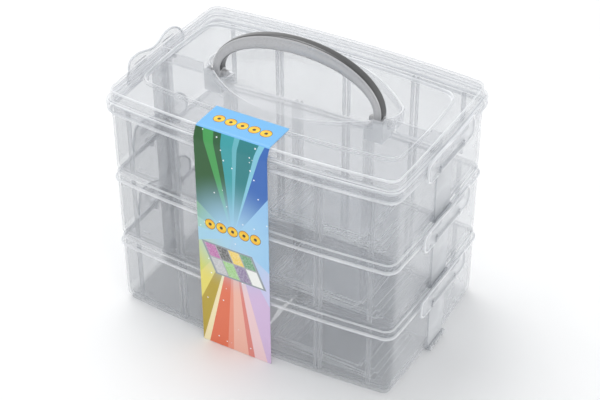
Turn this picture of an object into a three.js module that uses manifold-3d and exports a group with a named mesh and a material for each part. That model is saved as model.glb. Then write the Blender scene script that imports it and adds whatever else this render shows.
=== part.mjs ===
// Three-tier carry box: three equal clear trays that stack into each other, a lid with a folding
// handle, six end clips, loose cross dividers stacked in each tray and a printed card.
// Millimetres, +Z up, front is -Y.
// The origin is the middle of the footprint, on the surface that the box stands on.
import * as THREE from 'three';
import { mergeVertices } from 'three/addons/utils/BufferGeometryUtils.js';
import Module from 'manifold-3d';

const wasm = await Module();
wasm.setup();

// ---- driving dimensions ------------------------------------------------------------------------
const WIDTH = 256;             // lid skirt, end to end at mid depth
const DEPTH = 171;             // lid skirt, front to back at mid width
const END_BOW = 1.5;           // how far the middle of an end wall stands proud of its corners
const FRONT_BOW = 5.8;         // the same for the front and back walls
const CORNER_RADIUS = 12;
const FIT = 0.3;               // gap between pieces that touch

const TRAY_NAMES = ['bottom', 'middle', 'top'];
const TRAY_HEIGHT = 65;
const NEST = 2;                // how far a foot sinks into the rim below
const WALL = 1.8;
const FLOOR = 1.8;
const SKIRT_PROUD = 1.8;       // lid skirt beyond the tray bead
const BEAD_PROUD = 1.8;        // tray bead beyond the tray wall
const BEAD_HEIGHT = 2.5;
const BEAD_DROP = 5;           // rim top down to bead top
const FOOT_HEIGHT = 6;
const FOOT_INSET = 3;

const SLOT_PITCH = 61.8;       // distance between neighbouring divider slots
const SLOT_COUNT = 3;
const RIB = 2;                 // thickness of one guide rib
const RIB_DEPTH = 3;
const STIFFENER_X = 104.5;     // single stiffening ribs near the corners
const STIFFENER_WIDTH = 3.8;
const STIFFENER_DEPTH = 1.2;
const DIVIDER = 1.6;
const CENTRE_WALL = 1.8;
const DIP_SIDE = 2;            // a wall's dip beyond the pivot pocket above it
const STACK_END = 14;          // from the first stacked divider to the end wall
const STACK_SIDE = 1;          // from the stacked dividers to the centre wall's ribs
const STACK_TURNS = [0, 1.5, -1, 0.8, -2, 1];  // degrees that each divider in a stack lies askew
const STACK_SHIFTS = [0, -21, -3, -17, -6, -12];  // and how far it lies along from the first one
const PILLAR_WIDTH = 27;       // raised pad down the middle of an end wall
const PILLAR_PROUD = 1;
const LUG_WIDTH = 26;          // catch lug at the foot of an end wall
const LUG_PROUD = 3.6;
const LUG_SLOT = 3;
const LUG_SLOT_DEPTH = 1.6;

const LID = 1.5;               // thickness of the lid moulding
const SKIRT_HEIGHT = 8.8;
const BORDER_INSET = 3.7;
const BORDER_HEIGHT = 8;       // flange top to border top
const PANEL_DROP = 2.5;        // border top to panel
const PANEL_WIDTH = 223;
const PANEL_DEPTH = 112;
const RECESS_END = 6;          // handle recess beyond the outside of a handle leg
const RECESS_FRONT = 37;       // its deepest points in front of and behind the middle
const RECESS_BACK = 57;
const RECESS_TIP_FRONT = 1.4;  // where its two curves end
const RECESS_TIP_BACK = 17.3;
const SCOOP_END = 4;           // the sloping front of the recess meets the floor here
const RECESS_END_BOW = 4;      // bulge of its two short ends
const POCKET_DEPTH = 7.5;      // pivot pockets below the recess floor
const POCKET_WALL = 1.6;
const POCKET_SIDE = 2.6;       // pocket beyond a handle leg, along the pivot
const POCKET_END = 3.7;        // pocket beyond a handle leg, front and back

const HANDLE_HALF = 70.2;      // middle of a leg
const HANDLE_THICK = 7.6;      // a leg, seen from the front
const HANDLE_DEPTH = 9.5;      // front to back
const HANDLE_LEG = 4.2;        // straight stretch above the pivot
const HANDLE_RISE = 43;        // outer curve above the legs
const GRIP_RISE = 30.6;        // inner curve above the legs
const HANDLE_EDGE = 2.4;       // rounding of its long edges
const HANDLE_LEAN = 5;         // degrees back from upright, as it stands
const PIVOT_RADIUS = 2.5;
const STUB = 4.4;              // pivot pin beyond a leg

const CLIP_WIDTH = 78;
const CLIP = 1.6;
const CLIP_RISE = 20;          // hinge axis to the tips of the lobes
const CLIP_WAIST = 3.5;        // dip between the two lobes
const CLIP_FLARE = 3;          // how far the finger lip leans out
const CLIP_DROP = 2.2;         // plate below the hinge axis
const CLIP_CORNER = 7;         // rounding of its lower corners
const CLIP_GAP = 0.9;          // lid skirt to the clip's inner face
const LIP = 1.2;               // thickness of the finger lip's edge
const HINGE_DROP = 3.5;        // bead top down to the hinge axis
const HINGE_RADIUS = 1.9;
const HINGE_PIN = 1.2;
const HINGE_HALF = 18;         // half length of the hinge barrel
const EAR = 3;
const PIN_WALL = 1;            // an ear's outer wall, beyond the blind bore for the pin
const SNAP = 0.5;              // snap bead on the clip's inner face
const SNAP_HALF = 1;           // half height of the snap bead

const CARD_WIDTH = 62.5;
const CARD_X = -6.7;
const CARD = 0.6;
const CARD_FLAP = 28;

// ---- derived sizes -----------------------------------------------------------------------------
const PITCH = TRAY_HEIGHT - NEST;
const BEAD_INSET = SKIRT_PROUD;
const WALL_INSET = BEAD_INSET + BEAD_PROUD;
const BEAD_TOP = TRAY_HEIGHT - BEAD_DROP;
const DIVIDER_TOP = PITCH - FIT;
const SKIRT_BOTTOM = (TRAY_NAMES.length - 1) * PITCH + BEAD_TOP + FIT;
const FLANGE_TOP = SKIRT_BOTTOM + SKIRT_HEIGHT;
const BORDER_TOP = FLANGE_TOP + BORDER_HEIGHT;
const PANEL_TOP = BORDER_TOP - PANEL_DROP;
const RECESS_FLOOR = TRAY_NAMES.length * PITCH + LID;
const PIVOT_Z = RECESS_FLOOR + FIT + HANDLE_DEPTH / 2;
const POCKET_FLOOR = RECESS_FLOOR - POCKET_DEPTH;
const RECESS_HALF = HANDLE_HALF + HANDLE_THICK / 2 + RECESS_END;
const POCKET_X0 = HANDLE_HALF - HANDLE_THICK / 2 - POCKET_SIDE;
const POCKET_X1 = HANDLE_HALF + HANDLE_THICK / 2 + POCKET_SIDE;
const POCKET_HALF_DEPTH = HANDLE_DEPTH / 2 + POCKET_END;
const DIP_FLOOR = POCKET_FLOOR - POCKET_WALL - (TRAY_NAMES.length - 1) * PITCH - FIT;
const HINGE_X = WIDTH / 2 + CLIP_GAP + CLIP / 2;
const HINGE_Z = BEAD_TOP - HINGE_DROP;
const SLOT = DIVIDER + 2 * FIT;

// ---- shapes and solids -------------------------------------------------------------------------

const cornerRadius = (inset) => Math.max(CORNER_RADIUS - inset, 3);

// Quarter circle from the current point, by a cubic curve: it leaves along u, arrives along v.
function roundCorner(shape, r, ux, uy, vx, vy) {
  const k = 0.5523 * r;
  const from = shape.currentPoint;
  const x = from.x + r * (ux + vx);
  const y = from.y + r * (uy + vy);
  shape.bezierCurveTo(from.x + k * ux, from.y + k * uy, x - k * vx, y - k * vy, x, y);
}

// Rounded rectangle whose four sides are shallow curves, inset from the lid skirt's outline.
function boxOutline(inset, width = WIDTH, depth = DEPTH) {
  const a = width / 2 - END_BOW - inset;
  const b = depth / 2 - FRONT_BOW - inset;
  const r = cornerRadius(inset);
  const shape = new THREE.Shape();
  shape.moveTo(-(a - r), -b);
  shape.quadraticCurveTo(0, -b - 2 * FRONT_BOW, a - r, -b);
  roundCorner(shape, r, 1, 0, 0, 1);
  shape.quadraticCurveTo(a + 2 * END_BOW, 0, a, b - r);
  roundCorner(shape, r, 0, 1, -1, 0);
  shape.quadraticCurveTo(0, b + 2 * FRONT_BOW, -(a - r), b);
  roundCorner(shape, r, -1, 0, 0, -1);
  shape.quadraticCurveTo(-a - 2 * END_BOW, 0, -a, -(b - r));
  roundCorner(shape, r, 0, -1, 1, 0);
  return shape;
}

// Leaf-shaped outline of the handle recess, grown by a wall thickness.
function recessOutline(grow) {
  const half = RECESS_HALF + grow;
  const front = RECESS_FRONT + grow;
  const back = RECESS_BACK + grow;
  const tipFront = RECESS_TIP_FRONT - grow;
  const tipBack = RECESS_TIP_BACK + grow;
  const shape = new THREE.Shape();
  shape.moveTo(-half, tipFront);
  shape.quadraticCurveTo(0, -2 * front - tipFront, half, tipFront);
  shape.quadraticCurveTo(half + RECESS_END_BOW, (tipFront + tipBack) / 2, half, tipBack);
  shape.quadraticCurveTo(0, 2 * back - tipBack, -half, tipBack);
  shape.quadraticCurveTo(-half - RECESS_END_BOW, (tipFront + tipBack) / 2, -half, tipFront);
  return shape;
}

function solid(geometry) {
  const bare = new THREE.BufferGeometry();
  bare.setAttribute('position', geometry.getAttribute('position'));
  if (geometry.index) bare.setIndex(geometry.index);
  const merged = mergeVertices(bare, 1e-4);
  return new wasm.Manifold(new wasm.Mesh({
    numProp: 3,
    vertProperties: new Float32Array(merged.getAttribute('position').array),
    triVerts: new Uint32Array(merged.index.array),
  }));
}

// A flat outline raised from one height to another.
function slab(shape, low, high, curveSegments = 6) {
  const geometry = new THREE.ExtrudeGeometry(shape, { depth: high - low, bevelEnabled: false, curveSegments });
  return solid(geometry.translate(0, 0, low));
}

function block(x0, x1, y0, y1, z0, z1) {
  const geometry = new THREE.BoxGeometry(x1 - x0, y1 - y0, z1 - z0);
  return solid(geometry.translate((x0 + x1) / 2, (y0 + y1) / 2, (z0 + z1) / 2));
}

// Round bar along an axis, 'x' or 'y', centred on a point.
function bar(axis, radius, length, x, y, z, sides = 12) {
  const geometry = new THREE.CylinderGeometry(radius, radius, length, sides);
  if (axis === 'x') geometry.rotateZ(Math.PI / 2);
  return solid(geometry.translate(x, y, z));
}

const join = (parts) => wasm.Manifold.union(parts);

const root = new THREE.Group();

function addPiece(name, manifold, material, place = [0, 0, 0], lean = 0, turn = 0) {
  const { vertProperties, triVerts } = manifold.getMesh();
  const geometry = new THREE.BufferGeometry();
  geometry.setAttribute('position', new THREE.BufferAttribute(vertProperties, 3));
  geometry.setIndex(new THREE.BufferAttribute(triVerts, 1));
  geometry.computeVertexNormals();
  const mesh = new THREE.Mesh(geometry, material);
  mesh.name = name;
  mesh.position.set(...place);
  mesh.rotation.x = THREE.MathUtils.degToRad(-lean);
  mesh.rotation.z = THREE.MathUtils.degToRad(turn);
  root.add(mesh);
}

// ---- materials ---------------------------------------------------------------------------------
const clearPlastic = () => new THREE.MeshStandardMaterial({
  color: 0xd9dfe1, roughness: 0.15, metalness: 0, transparent: true, opacity: 0.35,
});
const silverPlastic = () => new THREE.MeshStandardMaterial({ color: 0xa6a9ac, roughness: 0.28, metalness: 0.5 });
const printedCard = () => new THREE.MeshStandardMaterial({ color: 0x5fb4e6, roughness: 0.55, metalness: 0 });

// ---- trays -------------------------------------------------------------------------------------
const slotXs = Array.from({ length: SLOT_COUNT }, (_, i) => (i - (SLOT_COUNT - 1) / 2) * SLOT_PITCH);
const innerHalfWidth = WIDTH / 2 - WALL_INSET - WALL;
const innerHalfDepth = DEPTH / 2 - WALL_INSET - WALL;

// Inner face of the front wall at a distance from the middle, measured from the centre line. The
// wall's curve starts where the corner's arc ends.
function frontFace(x) {
  const curveHalf = innerHalfWidth - END_BOW - cornerRadius(WALL_INSET + WALL);
  return innerHalfDepth - FRONT_BOW * (x / curveHalf) ** 2;
}

// Two ribs either side of a slot, which runs up a wall: the ribs reach into the wall behind them.
function wallGuides() {
  const guides = [];
  const gap = SLOT / 2;
  for (const x of slotXs) {
    for (const side of [-1, 1]) {
      const inner = frontFace(x) - RIB_DEPTH;
      const y = [side * inner, side * (innerHalfDepth + WALL / 2)].sort((p, q) => p - q);
      guides.push(block(x - gap - RIB, x - gap, y[0], y[1], 0, DIVIDER_TOP));
      guides.push(block(x + gap, x + gap + RIB, y[0], y[1], 0, DIVIDER_TOP));
    }
  }
  for (const x of [-STIFFENER_X, STIFFENER_X]) {
    for (const side of [-1, 1]) {
      const inner = frontFace(x) - STIFFENER_DEPTH;
      const y = [side * inner, side * (innerHalfDepth + WALL / 2)].sort((p, q) => p - q);
      guides.push(block(x - STIFFENER_WIDTH / 2, x + STIFFENER_WIDTH / 2, y[0], y[1], 0, DIVIDER_TOP));
    }
  }
  const half = CENTRE_WALL / 2 + FIT;
  for (const side of [-1, 1]) {
    const x = [side * (innerHalfWidth - RIB_DEPTH), side * (innerHalfWidth + WALL / 2)].sort((p, q) => p - q);
    guides.push(block(x[0], x[1], -half - RIB, -half, 0, DIVIDER_TOP));
    guides.push(block(x[0], x[1], half, half + RIB, 0, DIVIDER_TOP));
  }
  return guides;
}

function trayCavity() {
  const low = slab(boxOutline(WALL_INSET + FOOT_INSET + WALL), FLOOR, FOOT_HEIGHT + WALL);
  const high = slab(boxOutline(WALL_INSET + WALL), FOOT_HEIGHT + WALL, TRAY_HEIGHT + 1);
  return low.add(high);
}

// Pad, catch lug and hinge ears on one end of a tray; side is 1 for the right end.
function trayEnd(side) {
  const wallX = WIDTH / 2 - WALL_INSET;
  const span = (near, far) => (side > 0 ? [near, far] : [-far, -near]);
  const padX = span(wallX - WALL / 2, wallX + PILLAR_PROUD);
  const pad = block(...padX, -PILLAR_WIDTH / 2, PILLAR_WIDTH / 2, FOOT_HEIGHT, BEAD_TOP - BEAD_HEIGHT);
  const lugX = span(wallX - FOOT_INSET - WALL / 2, wallX + LUG_PROUD);
  const slotX = span(wallX + LUG_PROUD - LUG_SLOT_DEPTH, wallX + LUG_PROUD + 1);
  let lug = block(...lugX, -LUG_WIDTH / 2, LUG_WIDTH / 2, NEST + FIT, FOOT_HEIGHT);
  for (const y of [-LUG_WIDTH / 4, LUG_WIDTH / 4]) {
    lug = lug.subtract(block(...slotX, y - LUG_SLOT / 2, y + LUG_SLOT / 2, -1, FOOT_HEIGHT + 1));
  }
  const earX = span(wallX - WALL / 2, HINGE_X + HINGE_RADIUS);
  const ears = [-1, 1].map((end) => {
    const y0 = end > 0 ? HINGE_HALF : -HINGE_HALF - EAR;
    const ear = block(...earX, y0, y0 + EAR, HINGE_Z - HINGE_RADIUS, BEAD_TOP);
    const blind = bar('y', HINGE_PIN + FIT, EAR, side * HINGE_X, y0 + EAR / 2 - end * PIN_WALL, HINGE_Z);
    return ear.subtract(blind);
  });
  return join([pad, lug, ...ears]);
}

function makeTray() {
  const foot = slab(boxOutline(WALL_INSET + FOOT_INSET), 0, FOOT_HEIGHT);
  const walls = slab(boxOutline(WALL_INSET), FOOT_HEIGHT, TRAY_HEIGHT);
  const bead = slab(boxOutline(BEAD_INSET), BEAD_TOP - BEAD_HEIGHT, BEAD_TOP);
  const cavity = trayCavity();
  const ribs = join(wallGuides());
  return join([foot, walls, bead]).subtract(cavity.subtract(ribs)).add(trayEnd(1)).add(trayEnd(-1));
}

// ---- dividers ----------------------------------------------------------------------------------

// Long wall down the middle of a tray, with guide ribs for the cross dividers and two dips that
// clear the lid's pivot pockets.
function makeCentreWall() {
  const half = innerHalfWidth - FIT;
  const bottom = FLOOR + FIT;
  const lowHalf = half - FOOT_INSET;
  const high = block(-half, half, -CENTRE_WALL / 2, CENTRE_WALL / 2, FOOT_HEIGHT + WALL + FIT, DIVIDER_TOP);
  const low = block(-lowHalf, lowHalf, -CENTRE_WALL / 2, CENTRE_WALL / 2, bottom, DIVIDER_TOP);
  const gap = SLOT / 2;
  const ribs = [];
  for (const x of slotXs) {
    const depth = CENTRE_WALL / 2 + RIB_DEPTH;
    for (const start of [x - gap - RIB, x + gap]) {
      ribs.push(block(start, start + RIB, -depth, depth, bottom, DIVIDER_TOP));
    }
  }
  const dips = [-1, 1].map((side) => {
    const x = [side * (POCKET_X0 - POCKET_WALL - DIP_SIDE), side * (POCKET_X1 + POCKET_WALL + DIP_SIDE)];
    const [x0, x1] = x.sort((p, q) => p - q);
    return block(x0, x1, -DEPTH, DEPTH, DIP_FLOOR, DIVIDER_TOP + 1);
  });
  return join([low, high, ...ribs]).subtract(join(dips));
}

// Short divider that fits between the centre wall and the front or back wall at one slot, lying
// flat: its length runs along X and its height along Y. Its inner top corner is stepped down to
// clear the lid's pivot pockets, and its origin is its inner bottom corner.
function makeDivider(x) {
  const near = CENTRE_WALL / 2 + FIT;
  const bottom = FLOOR + FIT;
  const length = frontFace(x) - FIT - near;
  const step = [length - FOOT_INSET, FOOT_HEIGHT + WALL + FIT - bottom];
  const top = DIVIDER_TOP - bottom;
  const dip = [POCKET_HALF_DEPTH + POCKET_WALL + FIT - near, DIP_FLOOR - bottom];
  const shape = new THREE.Shape();
  shape.moveTo(0, 0);
  shape.lineTo(step[0], 0);
  shape.lineTo(step[0], step[1]);
  shape.lineTo(length, step[1]);
  shape.lineTo(length, top);
  shape.lineTo(dip[0], top);
  shape.lineTo(dip[0], dip[1]);
  shape.lineTo(0, dip[1]);
  shape.closePath();
  return solid(new THREE.ExtrudeGeometry(shape, { depth: DIVIDER, bevelEnabled: false }));
}

// ---- lid ---------------------------------------------------------------------------------------
function pocketBox(side, grow, low, high, back = 0) {
  const x = [side * (POCKET_X0 - grow), side * (POCKET_X1 + grow)].sort((p, q) => p - q);
  return block(x[0], x[1], -POCKET_HALF_DEPTH - grow, POCKET_HALF_DEPTH + grow + back, low, high);
}

// Air above the recess floor: the leaf outline, with a floor that slopes up towards the front.
function recessAir(grow) {
  const low = RECESS_FLOOR - grow;
  const leaf = slab(recessOutline(grow), low, BORDER_TOP + 1, 10);
  const slope = (PANEL_TOP - RECESS_FLOOR) / (RECESS_FRONT + SCOOP_END);
  const reach = DEPTH;
  const wedge = new THREE.Shape();
  wedge.moveTo(SCOOP_END, low - 1);
  wedge.lineTo(SCOOP_END, low);
  wedge.lineTo(SCOOP_END - reach, low + reach * slope);
  wedge.lineTo(SCOOP_END - reach, low - 1);
  wedge.closePath();
  const geometry = new THREE.ExtrudeGeometry(wedge, { depth: 2 * reach, bevelEnabled: false });
  geometry.translate(0, 0, -reach).rotateX(Math.PI / 2).rotateZ(Math.PI / 2);
  return leaf.subtract(solid(geometry));
}

function makeLid() {
  const shell = join([
    slab(boxOutline(0), SKIRT_BOTTOM, FLANGE_TOP),
    slab(boxOutline(BORDER_INSET), FLANGE_TOP, BORDER_TOP),
  ]);
  const panelShape = boxOutline(0, PANEL_WIDTH, PANEL_DEPTH);
  const panelBody = slab(boxOutline(-LID, PANEL_WIDTH, PANEL_DEPTH), PANEL_TOP - LID, BORDER_TOP);
  const hollow = join([
    slab(boxOutline(LID), SKIRT_BOTTOM - 1, FLANGE_TOP - LID),
    slab(boxOutline(BORDER_INSET + LID), SKIRT_BOTTOM, BORDER_TOP - LID),
  ]);
  const webHalf = innerHalfWidth - 2 * FIT;
  const web = block(-webHalf, webHalf, -LID / 2, LID / 2, TRAY_NAMES.length * PITCH, BORDER_TOP - LID / 2);
  const pockets = [-1, 1].map((side) => pocketBox(side, POCKET_WALL, POCKET_FLOOR - POCKET_WALL, PANEL_TOP));
  const recessBody = recessAir(LID).intersect(block(-WIDTH, WIDTH, -DEPTH, DEPTH, 0, PANEL_TOP));
  const kept = join([panelBody, web, recessBody, ...pockets]);
  const air = [recessAir(0), slab(panelShape, PANEL_TOP, BORDER_TOP + 1)];
  for (const side of [-1, 1]) {
    air.push(pocketBox(side, 0, POCKET_FLOOR, BORDER_TOP + 1));
    const middle = side * (POCKET_X0 + POCKET_X1) / 2;
    const length = POCKET_X1 - POCKET_X0 + 2 * POCKET_WALL + 1;
    air.push(bar('x', PIVOT_RADIUS + FIT, length, middle, 0, PIVOT_Z));
  }
  return shell.subtract(hollow).add(kept).subtract(join(air));
}

// ---- handle ------------------------------------------------------------------------------------

// Crescent arch: two straight legs, an outer and an inner half ellipse between them, and all its
// long edges rounded. Each leg ends in a round boss with a pivot pin through it.
function makeHandle() {
  const outer = HANDLE_HALF + HANDLE_THICK / 2;
  const inner = HANDLE_HALF - HANDLE_THICK / 2;
  const outline = new THREE.Shape();
  outline.moveTo(-outer, 0);
  outline.lineTo(-outer, HANDLE_LEG);
  outline.absellipse(0, HANDLE_LEG, outer, HANDLE_RISE, Math.PI, 0, true);
  outline.lineTo(outer, 0);
  outline.lineTo(inner, 0);
  outline.lineTo(inner, HANDLE_LEG);
  outline.absellipse(0, HANDLE_LEG, inner, GRIP_RISE, 0, Math.PI, false);
  outline.lineTo(-inner, 0);
  outline.closePath();
  const arch = new THREE.ExtrudeGeometry(outline, {
    depth: HANDLE_DEPTH - 2 * HANDLE_EDGE, curveSegments: 14,
    bevelThickness: HANDLE_EDGE, bevelSize: HANDLE_EDGE, bevelOffset: -HANDLE_EDGE, bevelSegments: 2,
  });
  arch.translate(0, 0, HANDLE_EDGE - HANDLE_DEPTH / 2).rotateX(Math.PI / 2);
  const legs = [];
  for (const side of [-1, 1]) {
    const x = side * HANDLE_HALF;
    legs.push(bar('x', HANDLE_DEPTH / 2, HANDLE_THICK, x, 0, 0, 16));
    legs.push(bar('x', PIVOT_RADIUS, HANDLE_THICK + 2 * STUB - 2 * FIT, x, 0, 0));
  }
  return join([solid(arch), ...legs]);
}

// ---- clips -------------------------------------------------------------------------------------

// End clip on its hinge axis, for the right end. The plate rises from the barrel, carries a small
// snap bead and leans out into a finger lip, and its top edge has two lobes with a waist between.
function makeClip() {
  const half = CLIP / 2;
  const bend = FLANGE_TOP - (TRAY_NAMES.length - 1) * PITCH - HINGE_Z + SNAP_HALF;
  const profile = new THREE.Shape();
  profile.moveTo(-half, -CLIP_DROP);
  profile.lineTo(half, -CLIP_DROP);
  profile.lineTo(half, bend);
  profile.lineTo(half + CLIP_FLARE, CLIP_RISE - LIP / 2);
  profile.lineTo(half + CLIP_FLARE - LIP, CLIP_RISE);
  profile.lineTo(-half, bend + SNAP_HALF);
  profile.lineTo(-half - SNAP, bend);
  profile.lineTo(-half, bend - SNAP_HALF);
  profile.closePath();
  const plate = new THREE.ExtrudeGeometry(profile, { depth: CLIP_WIDTH, bevelEnabled: false });
  plate.translate(0, 0, -CLIP_WIDTH / 2).rotateX(Math.PI / 2);

  const w = CLIP_WIDTH / 2;
  const shoulder = CLIP_CORNER - CLIP_DROP;
  const waist = CLIP_RISE - CLIP_WAIST;
  const outline = new THREE.Shape();
  outline.moveTo(-w, shoulder);
  outline.quadraticCurveTo(-w, -CLIP_DROP, -w + CLIP_CORNER, -CLIP_DROP);
  outline.lineTo(w - CLIP_CORNER, -CLIP_DROP);
  outline.quadraticCurveTo(w, -CLIP_DROP, w, shoulder);
  outline.bezierCurveTo(w, CLIP_RISE, 0.6 * w, CLIP_RISE + 2, 0.45 * w, CLIP_RISE - 1);
  outline.quadraticCurveTo(0.25 * w, waist, 0, waist);
  outline.quadraticCurveTo(-0.25 * w, waist, -0.45 * w, CLIP_RISE - 1);
  outline.bezierCurveTo(-0.6 * w, CLIP_RISE + 2, -w, CLIP_RISE, -w, shoulder);
  const reach = CLIP_RISE;
  const trim = new THREE.ExtrudeGeometry(outline, { depth: 2 * reach, bevelEnabled: false, curveSegments: 6 });
  trim.translate(0, 0, -reach).rotateX(Math.PI / 2).rotateZ(Math.PI / 2);

  // Windows for the ears, high enough for an ear's outer corner to pass as the clip turns.
  const earReach = Math.hypot(HINGE_DROP, HINGE_RADIUS) + FIT;
  const earGap = [-1, 1].map((end) => {
    const y0 = end > 0 ? HINGE_HALF - FIT : -HINGE_HALF - EAR - FIT;
    return block(-reach, reach, y0, y0 + EAR + 2 * FIT, -reach, earReach);
  });
  const barrel = bar('y', HINGE_RADIUS, 2 * (HINGE_HALF - FIT), 0, 0, 0);
  const pin = bar('y', HINGE_PIN, 2 * (HINGE_HALF + EAR - PIN_WALL - FIT), 0, 0, 0);
  return solid(plate).intersect(solid(trim)).subtract(join(earGap)).add(barrel).add(pin);
}

// ---- card --------------------------------------------------------------------------------------

// Printed card: a flap on the lid's border, a fold over its front edge, and a panel down the front.
function makeCard() {
  const front = -DEPTH / 2 - FIT;
  const foldY = -DEPTH / 2 + BORDER_INSET - FIT;
  const top = BORDER_TOP + FIT;
  const profile = new THREE.Shape();
  profile.moveTo(front, FIT);
  profile.lineTo(front, FLANGE_TOP + FIT);
  profile.lineTo(foldY, top);
  profile.lineTo(foldY + CARD_FLAP, top);
  profile.lineTo(foldY + CARD_FLAP, top + CARD);
  profile.lineTo(foldY - CARD / 2, top + CARD);
  profile.lineTo(front - CARD, FLANGE_TOP + FIT);
  profile.lineTo(front - CARD, FIT);
  profile.closePath();
  const geometry = new THREE.ExtrudeGeometry(profile, { depth: CARD_WIDTH, bevelEnabled: false });
  geometry.translate(0, 0, CARD_X - CARD_WIDTH / 2).rotateX(Math.PI / 2).rotateZ(Math.PI / 2);
  return solid(geometry);
}

// ---- assembly ----------------------------------------------------------------------------------
const tray = makeTray();
const centreWall = makeCentreWall();
const clip = makeClip();
const mirroredClip = clip.mirror([1, 0, 0]);
// Each slot takes a divider in front of the centre wall and one behind it.
const dividers = [...slotXs, ...slotXs].map(makeDivider);

TRAY_NAMES.forEach((level, floor) => {
  const z = floor * PITCH;
  addPiece(`${level}_tray`, tray, clearPlastic(), [0, 0, z]);
  addPiece(`${level}_centre_wall`, centreWall, clearPlastic(), [0, 0, z]);
  dividers.forEach((divider, i) => {
    const height = z + FLOOR + FIT + i * (DIVIDER + FIT);
    const size = divider.boundingBox().max;
    const turn = STACK_TURNS[i % STACK_TURNS.length];
    const x = WIDTH / 2 - WALL_INSET - WALL - STACK_END - size[0] + STACK_SHIFTS[i % STACK_SHIFTS.length];
    const rise = size[1] + size[0] * Math.sin(THREE.MathUtils.degToRad(Math.max(turn, 0)));
    const y = -CENTRE_WALL / 2 - RIB_DEPTH - STACK_SIDE - rise;
    addPiece(`${level}_divider_${i + 1}`, divider, clearPlastic(), [x, y, height], 0, turn);
  });
  addPiece(`${level}_clip_right`, clip, clearPlastic(), [HINGE_X, 0, z + HINGE_Z]);
  addPiece(`${level}_clip_left`, mirroredClip, clearPlastic(), [-HINGE_X, 0, z + HINGE_Z]);
});
addPiece('lid', makeLid(), clearPlastic());
addPiece('carry_handle', makeHandle(), silverPlastic(), [0, 0, PIVOT_Z], HANDLE_LEAN);
addPiece('printed_card', makeCard(), printedCard());

export default root;
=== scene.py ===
from math import radians

import bpy
import numpy as np
from mathutils import Matrix, Vector


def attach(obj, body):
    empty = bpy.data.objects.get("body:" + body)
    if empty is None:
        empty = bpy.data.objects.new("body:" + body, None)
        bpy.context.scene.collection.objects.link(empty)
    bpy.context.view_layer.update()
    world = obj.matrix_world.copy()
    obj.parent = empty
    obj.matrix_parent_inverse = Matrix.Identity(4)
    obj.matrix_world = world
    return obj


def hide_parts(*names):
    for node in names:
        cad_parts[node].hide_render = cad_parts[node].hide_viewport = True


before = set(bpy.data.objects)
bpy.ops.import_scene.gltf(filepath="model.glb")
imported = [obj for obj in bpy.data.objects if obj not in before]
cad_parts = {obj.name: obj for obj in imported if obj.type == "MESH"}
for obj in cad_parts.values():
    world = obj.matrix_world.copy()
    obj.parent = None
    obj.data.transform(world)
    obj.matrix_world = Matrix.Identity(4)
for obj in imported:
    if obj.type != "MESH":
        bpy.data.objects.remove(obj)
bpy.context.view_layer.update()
MM = 0.001

# Camera, light and floor ----------------------------------------------------------------------
# The box stands on a white studio sheet. It is seen from the front and right, from above, with a
# long lens, in soft even light from a large overhead panel and a bright room.
CAMERA_AT = Vector((508.2, -871.1, 838.4)) * MM
CAMERA_TO = Vector((43.8, -72.4, 158.5)) * MM
CAMERA_ROLL = -0.34
LENS = 94.4
LAMP_AIM = Vector((0, 0, 0.1))

camera = bpy.data.objects.new("camera", bpy.data.cameras.new("camera"))
camera.data.lens = LENS
camera.data.sensor_width = 36
camera.data.clip_start = 0.01
look = (CAMERA_TO - CAMERA_AT).to_track_quat("-Z", "Y").to_matrix().to_4x4()
camera.matrix_world = Matrix.Translation(CAMERA_AT) @ look @ Matrix.Rotation(radians(CAMERA_ROLL), 4, "Z")
bpy.context.scene.collection.objects.link(camera)
bpy.context.scene.camera = camera
bpy.context.scene.view_settings.view_transform = "Standard"
bpy.context.scene.cycles.transparent_max_bounces = 64


def area_light(name, at, size, power):
    """A square lamp above the box, turned to face the middle of it."""
    lamp = bpy.data.objects.new(name, bpy.data.lights.new(name, "AREA"))
    lamp.data.size = size
    lamp.data.energy = power
    at = Vector(at)
    turn = (LAMP_AIM - at).to_track_quat("-Z", "Y").to_matrix().to_4x4()
    lamp.matrix_world = Matrix.Translation(at) @ turn
    bpy.context.scene.collection.objects.link(lamp)


area_light("overhead_panel", (-0.5, 0.3, 1.5), 1.0, 12)
area_light("side_panel", (1.4, -0.9, 0.9), 0.8, 5)

room = bpy.data.worlds.new("room")
room.use_nodes = True
sky = room.node_tree
aim, split = sky.nodes.new("ShaderNodeTexCoord"), sky.nodes.new("ShaderNodeSeparateXYZ")
shade = sky.nodes.new("ShaderNodeValToRGB")
shade.color_ramp.elements[0].position, shade.color_ramp.elements[1].position = 0.15, 0.75
shade.color_ramp.elements[0].color = (1, 1, 1, 1)
shade.color_ramp.elements[1].color = (0.55, 0.56, 0.57, 1)
sky.links.new(aim.outputs["Generated"], split.inputs["Vector"])
sky.links.new(split.outputs["Z"], shade.inputs["Fac"])
sky.links.new(shade.outputs["Color"], sky.nodes["Background"].inputs["Color"])
bpy.context.scene.world = room


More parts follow.
